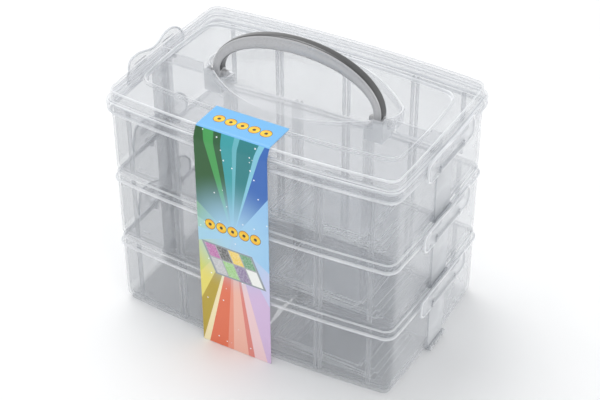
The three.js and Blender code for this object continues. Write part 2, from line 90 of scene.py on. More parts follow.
def studio_floor():
    """A flat white sheet under the box, with a faint paper mottling."""
    mesh = bpy.data.meshes.new("studio_floor")
    reach = 3.0
    mesh.from_pydata([(-reach, -reach, 0), (reach, -reach, 0), (reach, reach, 0), (-reach, reach, 0)],
                     [], [(0, 1, 2, 3)])
    sheet = bpy.data.objects.new("studio_floor", mesh)
    bpy.context.scene.collection.objects.link(sheet)
    paper = bpy.data.materials.new("studio_paper")
    paper.use_nodes = True
    nodes, links = paper.node_tree.nodes, paper.node_tree.links
    shader = nodes["Principled BSDF"]
    shader.inputs["Roughness"].default_value = 0.9
    place = nodes.new("ShaderNodeTexCoord")
    noise = nodes.new("ShaderNodeTexNoise")
    noise.inputs["Scale"].default_value = 30
    tone = nodes.new("ShaderNodeValToRGB")
    tone.color_ramp.elements[0].color = (0.96, 0.96, 0.96, 1)
    tone.color_ramp.elements[1].color = (0.98, 0.98, 0.98, 1)
    links.new(place.outputs["Object"], noise.inputs["Vector"])
    links.new(noise.outputs["Fac"], tone.inputs["Fac"])
    links.new(tone.outputs["Color"], shader.inputs["Base Color"])
    mesh.materials.append(paper)


studio_floor()

# Trays ----------------------------------------------------------------------------------------
# Three equal injection-moulded trays of clear polypropylene. Each stands with its foot inside the
# rim below, has a bead round its rim, guide ribs for the dividers, a pad and a catch lug on both
# ends, and two hinge ears above each pad.
LEVELS = ["bottom", "middle", "top"]
PITCH = 63
TRAY_BODY = {"bottom": "root", "middle": "middle_tier", "top": "top_tier"}
HALF_WIDTH, HALF_DEPTH = 128, 85.5   # to the lid's skirt, at the middle of the sides
END_BOW, FRONT_BOW = 1.5, 5.8        # how far the middle of a side stands proud of its ends
CORNER, LEAST_CORNER = 12, 3
CORNER_SHARE = 0.08                  # of the place along a side, for half a corner
WALL = 1.8
TRAY_HEIGHT, FLOOR = 65, 1.8
BEAD_LOW, BEAD_HIGH = 57.5, 60
BEAD_INSET, WALL_INSET, FOOT_INSET, FOOT_HEIGHT = 1.8, 3.6, 6.6, 6
SLOT_PITCH = 61.8
SLOT_GAP, RIB, RIB_DEPTH = 2.2, 2, 3
RIB_TOP, RIB_ROOT = 62.7, 0.5        # a block's root is how far it reaches into its wall
STIFFENER_X, STIFFENER_HALF, STIFFENER_DEPTH = 104.5, 1.9, 1.2
GUIDE_GAP = 1.2                      # from the centre line to a guide on an end wall
PAD_HALF, PAD_PROUD = 13.5, 1
LUG_HALF, LUG_SPANS = 13, ((-13, -8), (-5, 5), (8, 13))
LUG_IN, LUG_BACK, LUG_OUT = 3.9, 2, 3.6
HINGE_X, HINGE_Z = 129.7, 56.5
EAR_SPANS, EAR_REACH = ((-21, -18), (18, 21)), 1.9
MARK_X, MARK_Y = 106, 60
WALLS, EDGE_HIGHLIGHT, RIBBED = 0, 1, 2       # material numbers: plain walls, edges with a painted highlight, and ribs


def box_ring(inset, half_width=HALF_WIDTH, half_depth=HALF_DEPTH):
    """Plan outline of the box, inset from its skirt: four shallow parabolas, joined by quarter
    circles. Returns x, y and the place along the ring, 0 to 4, a whole number at the middle of
    each corner."""
    a = half_width - END_BOW - inset
    b = half_depth - FRONT_BOW - inset
    r = max(CORNER - inset, LEAST_CORNER)
    s = np.linspace(-1, 1, 29)[:-1]
    turn = np.linspace(0, np.pi / 2, 13)[:-1]
    corner = CORNER_SHARE
    xs, ys, place = [], [], []
    for k, (side, end, bow) in enumerate([(a, b, FRONT_BOW), (b, a, END_BOW)] * 2):
        along = (side - r) * s
        out = end + bow * (1 - s ** 2)
        arc_along = side - r + r * np.sin(turn)
        arc_out = end - r + r * np.cos(turn)
        u, v = np.concatenate([along, arc_along]), np.concatenate([out, arc_out])
        t = np.concatenate([corner + (1 - 2 * corner) * (s + 1) / 2, 1 - corner + corner * 4 * turn / np.pi])
        cos, sin = [(1, 0), (0, 1), (-1, 0), (0, -1)][k]
        xs.append(u * cos + v * sin)
        ys.append(u * sin - v * cos)
        place.append(k + t)
    return np.concatenate(xs), np.concatenate(ys), np.concatenate(place)


def soften(points, radius, steps=4):
    """Rounds the corners of an open profile, or of a stack of rings: each corner gives way to a
    quadratic curve that starts and ends within the radius, or 45% of the shorter stretch beside it."""
    p = np.array(points, float)
    before, after = p[:-2] - p[1:-1], p[2:] - p[1:-1]
    long_before = np.maximum(np.linalg.norm(before, axis=-1, keepdims=True), 1e-6)
    long_after = np.maximum(np.linalg.norm(after, axis=-1, keepdims=True), 1e-6)
    reach = np.minimum(radius, 0.45 * np.minimum(long_before, long_after))
    start = p[1:-1] + before / long_before * reach
    end = p[1:-1] + after / long_after * reach
    rows = [(1 - t) ** 2 * start + 2 * t * (1 - t) * p[1:-1] + t ** 2 * end
            for t in np.linspace(0, 1, steps + 1)]
    curve = np.stack(rows, 1).reshape(-1, *p.shape[1:])
    return np.concatenate([p[:1], curve, p[-1:]])


def tube_faces(rings, around):
    """Quads between neighbouring rings of a closed tube, ring by ring."""
    i = np.arange(rings - 1)[:, None]
    j = np.arange(around)[None, :]
    k = (j + 1) % around
    quads = np.stack([i * around + j, i * around + k, (i + 1) * around + k, (i + 1) * around + j], -1)
    return quads.reshape(-1, 4)


def closed_tube(rings, finish=0):
    """Rings of points (rings, around, 3), joined into a tube and closed by a fan at each end. The
    finish is the tube's material number, or one for each row of faces between two rings."""
    count, around = rings.shape[:2]
    poles = np.stack([rings[0].mean(0), rings[-1].mean(0)])
    points = np.vstack([rings.reshape(-1, 3), poles])
    j = np.arange(around)
    k = (j + 1) % around
    first, last = count * around, (count - 1) * around
    bottom = np.stack([np.full(around, first), k, j], -1)
    top = np.stack([np.full(around, first + 1), last + j, last + k], -1)
    rows = np.repeat(np.broadcast_to(finish, count - 1), around)
    finishes = np.concatenate([rows, np.full(around, rows[0]), np.full(around, rows[-1])])
    return points, tube_faces(count, around).tolist() + bottom.tolist() + top.tolist(), finishes


def soft_block(x, y, z, radius=0.5, finish=RIBBED):
    """Box between pairs of x, y and z, with rounded upright edges and a rounded top and bottom: a
    rounded rectangle carried up, drawn in by most of a quarter circle at both ends, so that each
    keeps a small flat."""
    flat_angle = 0.15
    radius = min(radius, 0.45 * (x[1] - x[0]), 0.45 * (y[1] - y[0]), 0.45 * (z[1] - z[0]))
    turn = np.linspace(0, 2 * np.pi, 16, endpoint=False) + np.pi / 16
    centre_x = np.where(np.cos(turn) > 0, x[1] - radius, x[0] + radius)
    centre_y = np.where(np.sin(turn) > 0, y[1] - radius, y[0] + radius)
    lean = np.linspace(flat_angle, np.pi / 2, 4)
    size = radius * np.concatenate([np.sin(lean), np.sin(lean[::-1])])[:, None]
    heights = np.concatenate([z[0] + radius * (1 - np.cos(lean)), z[1] - radius * (1 - np.cos(lean[::-1]))])
    upright = np.repeat(heights[:, None], len(turn), 1)
    rings = np.stack([centre_x + size * np.cos(turn), centre_y + size * np.sin(turn), upright], -1)
    return closed_tube(rings, finish)


def rod(start, end, radius, around=20, finish=0):
    """Round rod between two points, with slightly rounded ends."""
    start, end = np.array(start, float), np.array(end, float)
    length = np.linalg.norm(end - start)
    axis = (end - start) / length
    side = np.cross(axis, [0, 0, 1] if abs(axis[2]) < 0.9 else [1, 0, 0])
    side /= np.linalg.norm(side)
    other = np.cross(axis, side)
    turn = np.linspace(0, 2 * np.pi, around, endpoint=False)
    circle = np.cos(turn)[:, None] * side + np.sin(turn)[:, None] * other
    edge = 0.2 * radius
    along = np.array([0, 0.3 * edge, edge, length - edge, length - 0.3 * edge, length])
    size = np.array([radius - edge, radius - 0.3 * edge, radius, radius, radius - 0.3 * edge, radius - edge])
    return closed_tube(start + along[:, None, None] * axis + size[:, None, None] * circle, finish)


def make_piece(name, parts, materials):
    """One object from a list of (points in mm, faces, material number, or one for each face), shaded
    smooth, with flats kept flat and creases over 40 degrees kept sharp."""
    points, faces, finish, offset = [], [], [], 0
    for part_points, part_faces, part_finish in parts:
        points.append(part_points)
        faces += [[index + offset for index in face] for face in part_faces]
        finish.append(np.broadcast_to(part_finish, len(part_faces)))
        offset += len(part_points)
    mesh = bpy.data.meshes.new(name)
    mesh.from_pydata((np.vstack(points) * MM).tolist(), [], faces)
    for material in materials:
        mesh.materials.append(material)
    mesh.polygons.foreach_set("material_index", np.concatenate(finish).astype(np.int32))
    mesh.shade_smooth()
    mesh.set_sharp_from_angle(angle=radians(40))
    piece = bpy.data.objects.new(name, mesh)
    bpy.context.scene.collection.objects.link(piece)
    piece.modifiers.new("flat_faces", "WEIGHTED_NORMAL").keep_sharp = True
    return piece


def clear_plastic(name, through, haze, edge, grey=0.42):
    """Clear polypropylene. Most light goes straight through, tinted a little; a glossy skin shows on
    top of it, faint face on, as light as the grey given, and dense edge on, where its colour runs up
    to near white as a painted highlight; it is cloudy with flow marks."""
    plastic = bpy.data.materials.new(name)
    plastic.use_nodes = True
    nodes, links = plastic.node_tree.nodes, plastic.node_tree.links
    skin, output = nodes["Principled BSDF"], nodes["Material Output"]
    clear = nodes.new("ShaderNodeBsdfTransparent")
    clear.inputs["Color"].default_value = (*through, 1)
    blend = nodes.new("ShaderNodeMixShader")
    place = nodes.new("ShaderNodeTexCoord")
    clouds = nodes.new("ShaderNodeTexNoise")
    clouds.inputs["Scale"].default_value = 26
    clouds.inputs["Detail"].default_value = 4
    clouds.inputs["Distortion"].default_value = 0.8
    links.new(place.outputs["Object"], clouds.inputs["Vector"])
    turned = nodes.new("ShaderNodeLayerWeight")
    steep = nodes.new("ShaderNodeMath")
    steep.operation = "POWER"
    steep.inputs[1].default_value = 4
    links.new(turned.outputs["Facing"], steep.inputs[0])
    cloudy = nodes.new("ShaderNodeMath")
    cloudy.operation = "MULTIPLY_ADD"
    cloudy.inputs[1].default_value, cloudy.inputs[2].default_value = 0.3, -0.1
    links.new(clouds.outputs["Fac"], cloudy.inputs[0])
    lift = nodes.new("ShaderNodeMath")
    lift.operation = "ADD"
    links.new(cloudy.outputs["Value"], lift.inputs[0])
    links.new(steep.outputs["Value"], lift.inputs[1])
    # The skin's colour goes from the grey to near white as the surface turns edge on: a painted highlight,
    # over the cloudy flow marks.
    tone = nodes.new("ShaderNodeValToRGB")
    tone.color_ramp.elements[0].position, tone.color_ramp.elements[1].position = 0, 0.35
    tone.color_ramp.elements[0].color = (grey, 1.02 * grey, 1.05 * grey, 1)
    tone.color_ramp.elements[1].color = (0.97, 0.98, 1, 1)
    links.new(lift.outputs["Value"], tone.inputs["Fac"])
    links.new(tone.outputs["Color"], skin.inputs["Base Color"])
    smear = nodes.new("ShaderNodeMapRange")
    smear.inputs["To Min"].default_value, smear.inputs["To Max"].default_value = 0.08, 0.3
    links.new(clouds.outputs["Fac"], smear.inputs["Value"])
    links.new(smear.outputs["Result"], skin.inputs["Roughness"])
    ripple = nodes.new("ShaderNodeTexNoise")
    ripple.inputs["Scale"].default_value = 90
    ripple.inputs["Detail"].default_value = 2
    bump = nodes.new("ShaderNodeBump")
    bump.inputs["Strength"].default_value = 0.12
    bump.inputs["Distance"].default_value = 0.0006
    links.new(place.outputs["Object"], ripple.inputs["Vector"])
    links.new(ripple.outputs["Fac"], bump.inputs["Height"])
    links.new(bump.outputs["Normal"], skin.inputs["Normal"])
    rim = nodes.new("ShaderNodeMath")
    rim.operation = "MULTIPLY_ADD"
    rim.use_clamp = True
    rim.inputs[1].default_value = edge
    milk = nodes.new("ShaderNodeMapRange")
    milk.inputs["To Min"].default_value, milk.inputs["To Max"].default_value = 0.6 * haze, 1.4 * haze
    links.new(clouds.outputs["Fac"], milk.inputs["Value"])
    links.new(steep.outputs["Value"], rim.inputs[0])
    links.new(milk.outputs["Result"], rim.inputs[2])
    links.new(rim.outputs["Value"], blend.inputs["Fac"])
    links.new(clear.outputs["BSDF"], blend.inputs[1])
    links.new(skin.outputs["BSDF"], blend.inputs[2])
    links.new(blend.outputs["Shader"], output.inputs["Surface"])
    return plastic


def front_face(x):
    """Distance from the centre line to the inner face of the front wall, a parabola in x."""
    curve_half = HALF_WIDTH - WALL_INSET - WALL - END_BOW - (CORNER - WALL_INSET - WALL)
    return HALF_DEPTH - WALL_INSET - WALL - FRONT_BOW * (x / curve_half) ** 2


def tray_parts():
    """One tray at the bottom level: a profile carried round the outline, and its blocks and marks."""
    inner, foot_inner, step = WALL_INSET + WALL, FOOT_INSET + WALL, FOOT_HEIGHT + WALL
    profile = soften([
        (60, 0), (30, 0), (FOOT_INSET, 0), (FOOT_INSET, FOOT_HEIGHT), (WALL_INSET, FOOT_HEIGHT),
        (WALL_INSET, BEAD_LOW), (BEAD_INSET, BEAD_LOW), (BEAD_INSET, BEAD_HIGH), (WALL_INSET, BEAD_HIGH),
        (WALL_INSET, TRAY_HEIGHT), (inner, TRAY_HEIGHT), (inner, step), (foot_inner, step),
        (foot_inner, FLOOR), (30, FLOOR), (60, FLOOR)], 1.4)
    rings = []
    for inset, height in profile:
        x, y, _ = box_ring(inset)
        rings.append(np.stack([x, y, np.full(len(x), height)], -1))
    height = (profile[1:, 1] + profile[:-1, 1]) / 2
    # The top of the wall and the outside of the bead get the edge material, lighter and denser: a painted
    # highlight along the rim and the bead.
    painted_highlight = (height > TRAY_HEIGHT - 0.9) | ((height > BEAD_LOW - 0.1) & (profile[:-1, 0] < WALL_INSET + 0.01)
                                             & (height < BEAD_HIGH + 0.1))
    parts = [closed_tube(np.array(rings), np.where(painted_highlight, EDGE_HIGHLIGHT, WALLS))]
    for x in np.array([-1, 0, 1]) * SLOT_PITCH:
        for side in (-1, 1):
            y = np.sort([side * (front_face(x) - RIB_DEPTH), side * (front_face(x) + RIB_ROOT)])
            parts.append(soft_block((x - SLOT_GAP / 2 - RIB, x - SLOT_GAP / 2), y, (FOOT_HEIGHT, RIB_TOP)))
            parts.append(soft_block((x + SLOT_GAP / 2, x + SLOT_GAP / 2 + RIB), y, (FOOT_HEIGHT, RIB_TOP)))
    for x in (-STIFFENER_X, STIFFENER_X):
        for side in (-1, 1):
            y = np.sort([side * (front_face(x) - STIFFENER_DEPTH), side * (front_face(x) + RIB_ROOT)])
            parts.append(soft_block((x - STIFFENER_HALF, x + STIFFENER_HALF), y, (FOOT_HEIGHT, RIB_TOP)))
    wall_x = HALF_WIDTH - WALL_INSET
    for side in (-1, 1):
        guide_x = np.sort([side * (wall_x - WALL - RIB_DEPTH), side * (wall_x - WALL / 2)])
        parts.append(soft_block(guide_x, (-GUIDE_GAP - RIB, -GUIDE_GAP), (FOOT_HEIGHT, RIB_TOP)))
        parts.append(soft_block(guide_x, (GUIDE_GAP, GUIDE_GAP + RIB), (FOOT_HEIGHT, RIB_TOP)))
        pad_x = np.sort([side * (wall_x - RIB_ROOT), side * (wall_x + PAD_PROUD)])
        parts.append(soft_block(pad_x, (-PAD_HALF, PAD_HALF), (FOOT_HEIGHT - 0.2, BEAD_LOW + 0.2), 0.6))
        back_x = np.sort([side * (wall_x - LUG_IN), side * (wall_x + LUG_BACK)])
        lug_x = np.sort([side * (wall_x - LUG_IN), side * (wall_x + LUG_OUT)])
        parts.append(soft_block(back_x, (-LUG_HALF, LUG_HALF), (2.4, FOOT_HEIGHT)))
        for y in LUG_SPANS:
            parts.append(soft_block(lug_x, y, (2.3, FOOT_HEIGHT + 0.1)))
        ear_x = np.sort([side * (wall_x - RIB_ROOT), side * (HINGE_X + EAR_REACH)])
        for y in EAR_SPANS:
            parts.append(soft_block(ear_x, y, (HINGE_Z - EAR_REACH, BEAD_HIGH), 0.8))
        for row in (-1, 1):
            parts.append(floor_mark(side * MARK_X, row * MARK_Y))
    return parts


def floor_mark(x, y, radius=2.6, wire=0.35):
    """Small raised arc moulded on the floor, open to the back: a circle carried along nearly half a turn."""
    along = np.linspace(1.02 * np.pi, 1.98 * np.pi, 18)[:, None]
    turn = np.linspace(0, 2 * np.pi, 8, endpoint=False)[None, :]
    reach = radius + wire * np.cos(turn)
    points = [x + reach * np.cos(along), y + reach * np.sin(along), FLOOR + wire * np.sin(turn) + 0 * along]
    # The mark gets the edge material: a painted highlight.
    points, faces, finish = closed_tube(np.stack(points, -1), EDGE_HIGHLIGHT)
    return points, [face[::-1] for face in faces], finish


# The second plastic is lighter and denser than the walls and paints a highlight on edges; the third is for
# ribs.
tray_plastics = [
    clear_plastic("tray_wall_plastic", (0.948, 0.951, 0.955), 0.09, 0.8, 0.5),
    clear_plastic("tray_edge_highlight_plastic", (0.92, 0.925, 0.93), 0.6, 0.8, 0.85),
    clear_plastic("tray_rib_plastic", (0.92, 0.925, 0.93), 0.25, 0.9, 0.7),
]
tray_mesh_parts = tray_parts()


def lift(parts, height):
    """The same parts, moved up by a height."""
    return [(points + [0, 0, height], faces, finish) for points, faces, finish in parts]


for level, name in enumerate(LEVELS):
    tray = make_piece(f"{name}_tray_shell", lift(tray_mesh_parts, level * PITCH), tray_plastics)
    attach(tray, TRAY_BODY[name])
    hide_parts(f"{name}_tray")

# Centre walls and cross dividers --------------------------------------------------------------
# A long clear wall stands in the end guides of each tray. The six short dividers that fit its slots
# lie loose on the floor in front of it, in an untidy stack. All are cut from thin clear sheet.
DIVIDER, CENTRE_WALL = 1.6, 1.8
GAP, FOOT_NOTCH = 0.3, 3
DIP_FLOOR, DIP_NEAR, DIP_FAR = 55.1, 60.2, 80.2
DIVIDER_DIP = 10.35
STACK_END, STACK_SIDE = 14, 1        # from the stack to the end wall, and to the long wall's ribs
STACK_TURNS = (0, 1.5, -1, 0.8, -2, 1)
STACK_SHIFTS = (0, -21, -3, -17, -6, -12)


def plate(outline, thickness, across, up, origin=(0, 0, 0)):
    """Flat plate: an outline, drawn the left way round, given a thickness on both sides of it."""
    across, up = np.array(across, float), np.array(up, float)
    normal = np.cross(across, up) * thickness / 2
    flat = np.array(origin) + outline[:, :1] * across + outline[:, 1:] * up
    points = np.vstack([flat + normal, flat - normal])
    n = len(outline)
    j = np.arange(n)
    k = (j + 1) % n
    sides = np.stack([j, j + n, k + n, k], -1).tolist()
    # The cut edges get the edge material: a painted highlight along them.
    finish = np.full(n + 2, EDGE_HIGHLIGHT)
    finish[:2] = WALLS
    return points, [list(range(n)), list(range(2 * n - 1, n - 1, -1))] + sides, finish


def cut_sheet(name, parts, materials):
    """A piece of flat sheet, with its edges broken by a small bevel."""
    piece = make_piece(name, parts, materials)
    edge = piece.modifiers.new("broken_edges", "BEVEL")
    edge.width, edge.segments = 0.35 * MM, 2
    edge.limit_method, edge.angle_limit = "ANGLE", radians(50)
    piece.modifiers.move(1, 0)
    return piece


def divider_parts(x, turn, shift, height):
    """Cross divider for the slot at x, lying flat with its length along X: a rectangle with a step
    for the tray's foot at one end and a dip for the lid's pocket at the other, turned askew."""
    near, low = CENTRE_WALL / 2 + GAP, FLOOR + GAP
    length, top = front_face(x) - GAP - near, RIB_TOP - low
    step, dip = FOOT_HEIGHT + WALL + GAP - low, DIVIDER_DIP - near
    outline = soften([(1, 0), (length - FOOT_NOTCH, 0), (length - FOOT_NOTCH, step), (length, step),
                      (length, top), (dip, top), (dip, DIP_FLOOR - low), (0, DIP_FLOOR - low),
                      (0, 0), (1, 0)], 1.2, 3)[1:-1]
    rise = top + length * np.sin(max(turn, 0))
    at = (HALF_WIDTH - WALL_INSET - WALL - STACK_END - length + shift,
          -CENTRE_WALL / 2 - RIB_DEPTH - STACK_SIDE - rise, height)
    return [plate(outline, DIVIDER, (np.cos(turn), np.sin(turn), 0), (-np.sin(turn), np.cos(turn), 0), at)]


def centre_wall_parts():
    """Long wall with a dip under each handle pocket, and a rib either side of each slot."""
    half = HALF_WIDTH - WALL_INSET - WALL - GAP
    low, step = FLOOR + GAP, FOOT_HEIGHT + WALL + GAP
    right = np.array([(half - FOOT_NOTCH, low), (half - FOOT_NOTCH, step), (half, step), (half, RIB_TOP),
                      (DIP_FAR, RIB_TOP), (DIP_FAR, DIP_FLOOR), (DIP_NEAR, DIP_FLOOR), (DIP_NEAR, RIB_TOP)])
    outline = soften(np.vstack([(0, low), right, right[::-1] * [-1, 1], (-1, low)]), 1.2, 3)
    parts = [plate(outline, CENTRE_WALL, (1, 0, 0), (0, 0, 1))]
    inner, outer = 0.6, CENTRE_WALL / 2 + RIB_DEPTH
    for x in np.array([-1, 0, 1]) * SLOT_PITCH:
        for start in (x - SLOT_GAP / 2 - RIB, x + SLOT_GAP / 2):
            top = DIP_FLOOR if DIP_NEAR < abs(start + RIB / 2) < DIP_FAR else RIB_TOP
            for y in ((-outer, -inner), (inner, outer)):
                parts.append(soft_block((start, start + RIB), y, (low, top - 0.1), 0.4))
    return parts


wall_parts = centre_wall_parts()
# The second sheet plastic is lighter and denser than the faces and paints a highlight on cut edges.
sheet_plastics = [
    clear_plastic("divider_sheet", (0.997, 0.997, 0.997), 0.04, 0.35, 0.95),
    clear_plastic("divider_edge_highlight", (0.97, 0.97, 0.97), 0.5, 0.6, 0.88),
    clear_plastic("divider_rib", (0.96, 0.96, 0.96), 0.2, 0.7, 0.8),
]
for level, name in enumerate(LEVELS):
    wall = cut_sheet(f"{name}_long_wall", lift(wall_parts, level * PITCH), sheet_plastics)
    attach(wall, TRAY_BODY[name])
    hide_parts(f"{name}_centre_wall")
    for i, (turn, shift) in enumerate(zip(STACK_TURNS, STACK_SHIFTS)):
        height = level * PITCH + FLOOR + GAP + i * (DIVIDER + GAP) + DIVIDER / 2
        parts = divider_parts((i % 3 - 1) * SLOT_PITCH, radians(turn), shift, height)
        divider = cut_sheet(f"{name}_cross_divider_{i + 1}", parts, sheet_plastics)
        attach(divider, TRAY_BODY[name])
        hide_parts(f"{name}_divider_{i + 1}")

# Lid ------------------------------------------------------------------------------------------
# One clear moulding: a skirt that drops over the top tray's bead, a raised border, a lower panel
# and a leaf-shaped recess that the handle folds into. A pocket at each end of the recess holds a
# handle pivot, and a short web under each end stiffens the panel.
LID = 1.5
SKIRT_LOW, FLANGE_TOP, BORDER_TOP, PANEL_TOP, RECESS_FLOOR = 186.3, 195.1, 203.1, 200.6, 190.5
BORDER_INSET = 3.7
PANEL_HALF_WIDTH, PANEL_HALF_DEPTH = 111.5, 56
RECESS_HALF, RECESS_FRONT, RECESS_BACK, RECESS_END_BOW = 80, 37, 57, 4
TIP_FRONT, TIP_BACK = 1.4, 17.3
SCOOP_END = 4
POCKET_X, POCKET_Y, POCKET_FLOOR, POCKET_WALL = (63.8, 76.6), 8.45, 183, 1.6
PIVOT_Z, PIVOT_BORE, BORE_REACH = 195.55, 2.8, 4
CUP_OVERLAP, CUP_CLEARANCE = 0.3, 20
WEB_IN, WEB_STEP, WEB_OUT = 84.5, 113.5, 121.8
WEB_LOW, WEB_NOTCH, WEB_TOP = 189.2, 199.3, 201.8


def leaf_ring(grow, size=1.0):
    """Plan outline of the recess at the same places as the box's outline: four parabolas, of which
    the front and back meet two short ends. It can be grown outwards, or scaled about its middle."""
    place = box_ring(0)[2]
    side, t = np.floor(place).astype(int) % 4, 2 * (place % 1) - 1
    half, front, back = RECESS_HALF + grow, RECESS_FRONT + grow, RECESS_BACK + grow
    tip_front, tip_back = TIP_FRONT - grow, TIP_BACK + grow
    bulge = 1 - t ** 2
    middle, reach = (tip_front + tip_back) / 2, (tip_back - tip_front) / 2
    x = np.select([side == 0, side == 1, side == 2],
                  [half * t, half + RECESS_END_BOW / 2 * bulge, -half * t],
                  -half - RECESS_END_BOW / 2 * bulge)
    y = np.select([side == 0, side == 1, side == 2],
                  [tip_front - (front + tip_front) * bulge, middle + reach * t,
                   tip_back + (back - tip_back) * bulge], middle - reach * t)
    centre = (RECESS_BACK - RECESS_FRONT) / 2
    return size * x, centre + size * (y - centre)


def recess_floor(y):
    """Height of the recess floor: flat behind, and sloping up to the panel in front, with a soft
    bend between the two."""
    rise = (PANEL_TOP - RECESS_FLOOR) / (RECESS_FRONT + SCOOP_END)
    ahead = SCOOP_END - y
    return np.minimum(RECESS_FLOOR + rise * (ahead + np.sqrt(ahead ** 2 + 9)) / 2, PANEL_TOP - 0.1)


def lid_shell():
    """The moulding as one closed tube of rings: out along the underside, round the skirt, in along
    the top and down into the recess."""
    def box(inset, height):
        """Ring of the box's own outline, at a height."""
        x, y, _ = box_ring(inset)
        return np.stack([x, y, np.full(len(x), height)], -1)

    def panel(grow, height):
        """Ring of the lower panel's outline, at a height."""
        x, y, _ = box_ring(-grow, PANEL_HALF_WIDTH, PANEL_HALF_DEPTH)
        return np.stack([x, y, np.full(len(x), height)], -1)

    def leaf(grow, drop, size=1.0, height=None):
        """Ring of the recess's outline, at a height or dropped below the recess floor."""
        x, y = leaf_ring(grow, size)
        z = recess_floor(y) - drop if height is None else np.full(len(x), height)
        return np.stack([x, y, z], -1)

    steps = [0.15, 0.3, 0.45, 0.6, 0.75, 0.9]
    under = [leaf(LID, LID, size) for size in steps] + [leaf(LID, LID), leaf(LID, 0, 1, PANEL_TOP - LID)]
    under += [panel(LID, PANEL_TOP - LID), panel(LID, BORDER_TOP - LID)]
    under += [box(BORDER_INSET + LID, BORDER_TOP - LID), box(BORDER_INSET + LID, FLANGE_TOP - LID)]
    under += [box(LID, FLANGE_TOP - LID), box(LID, SKIRT_LOW)]
    top = [box(0, SKIRT_LOW), box(0, FLANGE_TOP)]
    top += [box(BORDER_INSET, FLANGE_TOP), box(BORDER_INSET, BORDER_TOP)]
    top += [panel(0, BORDER_TOP), panel(0, PANEL_TOP), leaf(0, 0, 1, PANEL_TOP), leaf(0, 0)]
    top += [leaf(0, 0, size) for size in steps[::-1]]
    rings = soften(np.array(under + top), 1.3, 3)
    middle = (rings[1:] + rings[:-1]).mean(1) / 2
    reach = (np.abs(rings[1:]).max(1) + np.abs(rings[:-1]).max(1)) / 2
    height = middle[:, 2]
    bend = np.linalg.norm(rings[1:] - rings[:-1], axis=-1).mean(1) < 0.9
    # Tight bends at the border top, the flange and the panel top, and the foot of the skirt at the ends, get
    # the edge material: a painted highlight along them.
    painted_highlight = bend & (np.abs(height - BORDER_TOP) < 1.2) | bend & (np.abs(height - FLANGE_TOP) < 0.7)
    painted_highlight |= (height < SKIRT_LOW + 0.8) & (reach[:, 0] > HALF_WIDTH - 8)
    painted_highlight |= bend & (np.abs(height - PANEL_TOP) < 0.9)
    return closed_tube(rings, np.where(painted_highlight, EDGE_HIGHLIGHT, WALLS))


def pocket_blocks(grow, low, high, radius=0.8):
    """The two pivot pockets as blocks, grown sideways."""
    y = (-POCKET_Y - grow, POCKET_Y + grow)
    sides = [(POCKET_X[0] - grow, POCKET_X[1] + grow), (-POCKET_X[1] - grow, -POCKET_X[0] + grow)]
    # The pockets get the edge material, lighter and denser: a painted highlight.
    return [soft_block(x, y, (low, high), radius, EDGE_HIGHLIGHT) for x in sides]


def carve(piece, parts, operation):
    """Joins a closed tool to a piece, or cuts it away, and keeps the result as the piece's mesh."""
    tool = make_piece("tool", parts, list(piece.data.materials))
    tool.modifiers.clear()
    cut = piece.modifiers.new("cut", "BOOLEAN")
    cut.operation, cut.object, cut.solver = operation, tool, "EXACT"
    ready = piece.evaluated_get(bpy.context.evaluated_depsgraph_get())
    mesh = bpy.data.meshes.new_from_object(ready)
    piece.modifiers.remove(cut)
    piece.data = mesh
    bpy.data.objects.remove(tool)


# The second plastic is lighter and denser than the walls and paints a highlight on the lid's bends, pockets
# and bores.
lid_plastics = [
    clear_plastic("lid_wall_plastic", (0.96, 0.962, 0.966), 0.13, 0.7, 0.68),
    clear_plastic("lid_edge_highlight_plastic", (0.95, 0.952, 0.955), 0.55, 0.8, 0.85),
    clear_plastic("lid_rib_plastic", (0.94, 0.943, 0.946), 0.35, 0.8, 0.8),
]
cup_blocks = pocket_blocks(POCKET_WALL, POCKET_FLOOR - POCKET_WALL, PANEL_TOP - 0.2)
cups = make_piece("lid_cups", cup_blocks, lid_plastics)
cups.modifiers.clear()
x, y = leaf_ring(CUP_OVERLAP)
floor = recess_floor(y) - CUP_OVERLAP
hollow_rings = np.stack([np.stack([x, y, z], -1) for z in (floor, floor + CUP_CLEARANCE)])
carve(cups, [closed_tube(hollow_rings, EDGE_HIGHLIGHT)], "DIFFERENCE")
cups_mesh = cups.data
points = np.empty(len(cups_mesh.vertices) * 3)
cups_mesh.vertices.foreach_get("co", points)
cup_part = (points.reshape(-1, 3) / MM, [list(face.vertices) for face in cups_mesh.polygons], EDGE_HIGHLIGHT)
bpy.data.objects.remove(cups)

lid = make_piece("clear_lid", [lid_shell()], lid_plastics)
lid.modifiers.clear()
carve(lid, [cup_part], "UNION")
carve(lid, pocket_blocks(0, POCKET_FLOOR, BORDER_TOP + 2), "DIFFERENCE")
bore_near, bore_far = POCKET_X[0] - BORE_REACH, POCKET_X[1] + BORE_REACH
# The bores get the edge material too: a painted highlight.
bores = [rod((side * bore_near, 0, PIVOT_Z), (side * bore_far, 0, PIVOT_Z), PIVOT_BORE, 24, EDGE_HIGHLIGHT)
         for side in (-1, 1)]
carve(lid, bores, "DIFFERENCE")
lid.data.shade_smooth()
lid.data.set_sharp_from_angle(angle=radians(35))
lid.modifiers.new("flat_faces", "WEIGHTED_NORMAL").keep_sharp = True
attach(lid, "lid")
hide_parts("lid")

web_outline = np.array([(WEB_IN, WEB_LOW), (WEB_OUT, WEB_LOW), (WEB_OUT, WEB_TOP), (WEB_STEP, WEB_TOP),
                        (WEB_STEP, WEB_NOTCH), (WEB_IN, WEB_NOTCH)])
webs = [plate(web_outline, LID, (1, 0, 0), (0, 0, 1)),
        plate(web_outline[::-1] * [-1, 1], LID, (1, 0, 0), (0, 0, 1))]
web = cut_sheet("lid_webs", webs, lid_plastics)
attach(web, "lid")

